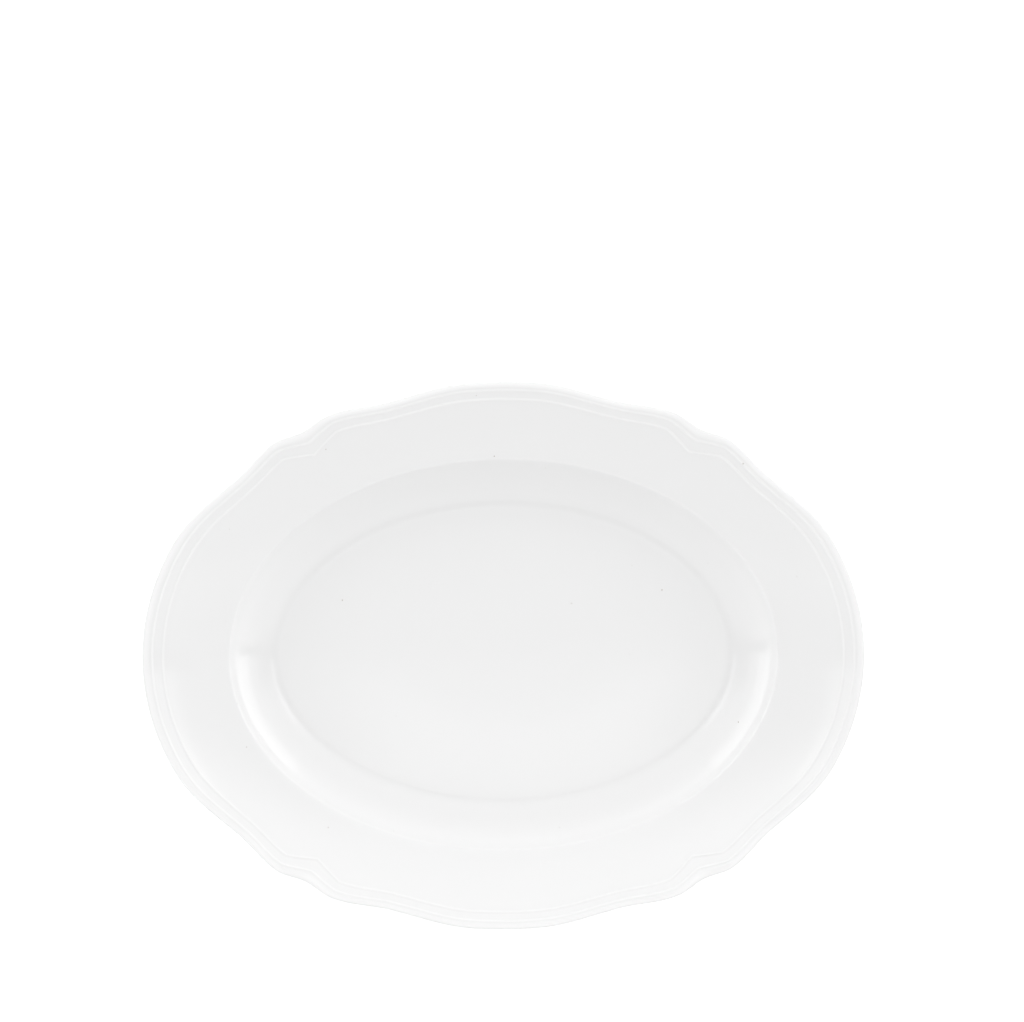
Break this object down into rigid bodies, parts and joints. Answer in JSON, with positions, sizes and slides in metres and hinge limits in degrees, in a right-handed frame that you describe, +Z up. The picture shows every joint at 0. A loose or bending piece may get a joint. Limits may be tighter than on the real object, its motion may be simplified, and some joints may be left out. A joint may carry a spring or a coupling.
{
  "type": "oval serving platter",
  "caption": "Oval white porcelain serving platter with a coved well, a bracketed and moulded rim edge, a clear glaze and a bare oval foot ring.",
  "frame": {"origin": "on the resting surface, under the middle of the platter", "axes": "+X along the length, +Y along the width, +Z up, out of the well"},
  "size_m": [0.34, 0.258, 0.031],
  "materials": {
    "biscuit": "fired white porcelain body, covered by glaze",
    "bare_foot": "bare fired porcelain, ground flat and slightly worn",
    "clear_glaze": "clear gloss glaze over white porcelain",
    "mark_print": "grey-blue printed mark under gloss"
  },
  "bodies": {
    "root": {"porcelain_body": "biscuit", "foot_ring": "bare_foot", "outer_glaze": "clear_glaze", "recess_glaze": "clear_glaze", "back_mark": "mark_print"}
  },
  "joints": []
}
